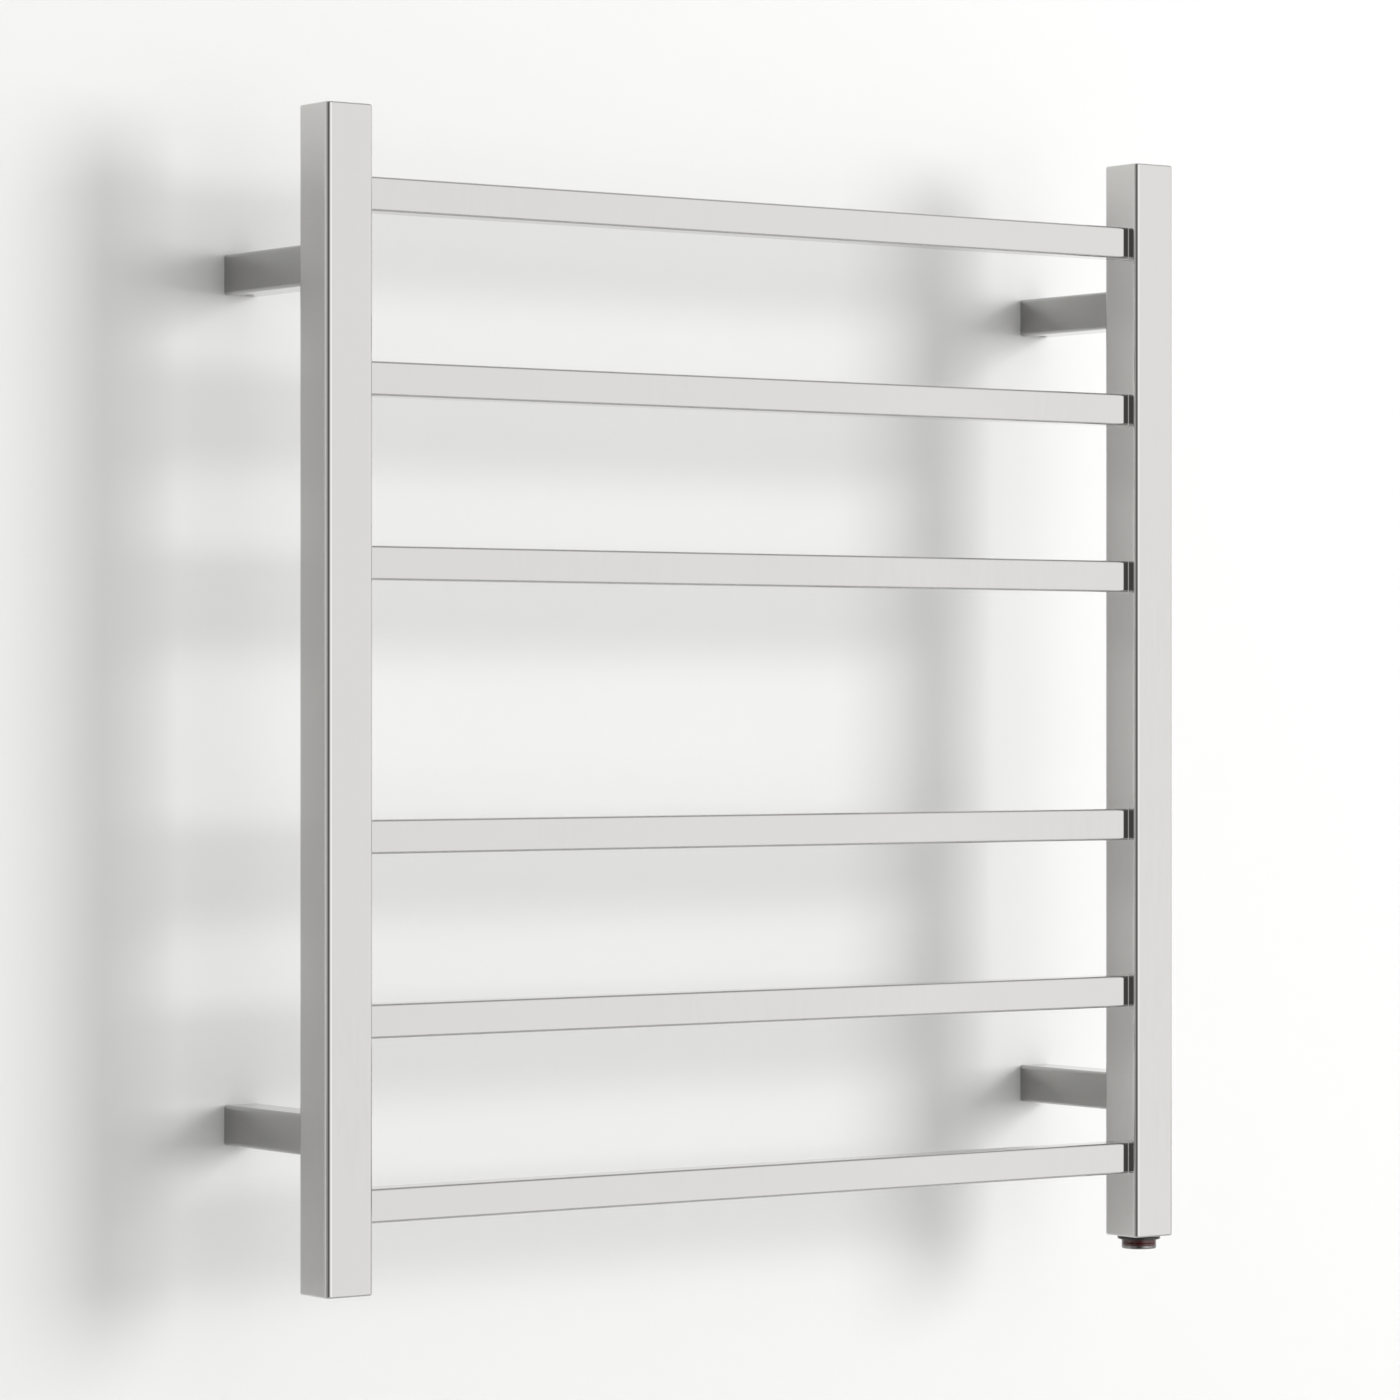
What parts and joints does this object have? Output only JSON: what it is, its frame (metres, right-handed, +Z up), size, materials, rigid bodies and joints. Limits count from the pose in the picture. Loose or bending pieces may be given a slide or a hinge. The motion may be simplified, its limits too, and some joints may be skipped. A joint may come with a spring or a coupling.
{
  "type": "towel warmer rack",
  "caption": "Wall-hung electric towel warmer: flat bars between two square posts, square stand-off brackets and a push switch under one post.",
  "frame": {"origin": "on the wall plane, at the centre of the four wall fixings; X is 0 midway between the posts and Z is 0 at mid-height of the posts", "axes": "+X to the right when facing the rack, +Y into the wall, +Z up"},
  "size_m": [0.604, 0.115, 0.6578],
  "materials": {
    "polished_post": "mirror polished stainless steel",
    "polished_bar": "mirror polished stainless steel, polished along the bar",
    "polished_bracket": "mirror polished stainless steel",
    "polished_cap": "mirror polished stainless steel plate with a dressed weld round it",
    "plain_steel": "plain mill finish",
    "zinc_steel": "bright zinc plate",
    "cast_alloy": "as cast, slightly grainy",
    "red_silicone": "matt silicone",
    "white_silicone": "matt silicone",
    "cream_plastic": "moulded, satin",
    "live_brown": "matt insulation",
    "neutral_blue": "matt insulation",
    "earth_green": "matt insulation",
    "brass": "plain",
    "gland_rubber": "matt black rubber",
    "gasket_rubber": "matt black rubber",
    "switch_black": "satin black moulding",
    "switch_metal": "turned and satin polished",
    "switch_lens": "translucent dark red moulding",
    "spring_steel": "drawn wire"
  },
  "bodies": {
    "rack": {"left_post": "polished_post", "right_post": "polished_post", "left_post_top_cap": "polished_cap", "right_post_top_cap": "polished_cap", "left_post_bottom_cap": "polished_cap", "right_post_switch_cap": "polished_cap", "bar_1": "polished_bar", "bar_2": "polished_bar", "bar_3": "polished_bar", "bar_4": "polished_bar", "bar_5": "polished_bar", "bar_6": "polished_bar", "upper_left_bracket_sleeve": "polished_bracket", "upper_left_bracket_end_plate": "plain_steel", "upper_left_bracket_bolt": "zinc_steel", "upper_left_nut_plate": "plain_steel", "upper_left_wall_boss": "cast_alloy", "upper_left_grub_screw": "plain_steel", "upper_right_bracket_sleeve": "polished_bracket", "upper_right_bracket_end_plate": "plain_steel", "upper_right_bracket_bolt": "zinc_steel", "upper_right_nut_plate": "plain_steel", "upper_right_wall_boss": "cast_alloy", "upper_right_grub_screw": "plain_steel", "lower_left_bracket_sleeve": "polished_bracket", "lower_left_bracket_end_plate": "plain_steel", "lower_left_bracket_bolt": "zinc_steel", "lower_left_nut_plate": "plain_steel", "lower_left_wall_boss": "cast_alloy", "lower_left_grub_screw": "plain_steel", "lower_right_bracket_sleeve": "polished_bracket", "lower_right_bracket_end_plate": "plain_steel", "lower_right_bracket_bolt": "zinc_steel", "lower_right_nut_plate": "plain_steel", "lower_right_wall_boss": "cast_alloy", "lower_right_grub_screw": "plain_steel", "heating_cable": "red_silicone", "thermal_cutout": "cream_plastic", "return_lead": "white_silicone", "terminal_block": "cream_plastic", "switch_lead_front": "white_silicone", "switch_lead_rear": "white_silicone", "supply_sheath": "white_silicone", "live_core": "live_brown", "neutral_core": "neutral_blue", "earth_core": "earth_green", "earth_tag": "brass", "earth_screw": "brass", "cable_gland": "gland_rubber", "switch_housing": "switch_black", "switch_gasket": "gasket_rubber", "switch_nut": "plain_steel", "switch_spring": "spring_steel", "switch_contact_block": "switch_black", "switch_terminal_front": "brass", "switch_terminal_rear": "brass"},
    "button": {"switch_button": "switch_metal", "switch_lens": "switch_lens", "switch_plunger": "switch_black"}
  },
  "joints": [
    {"name": "switch_press", "type": "slide", "parent": "rack", "child": "button", "axis": [0, 0, 1], "range_m": [0, 0.0015], "stiffness_N_per_m": 800, "springref_m": -0.002, "deforming": ["switch_spring"]}
  ]
}
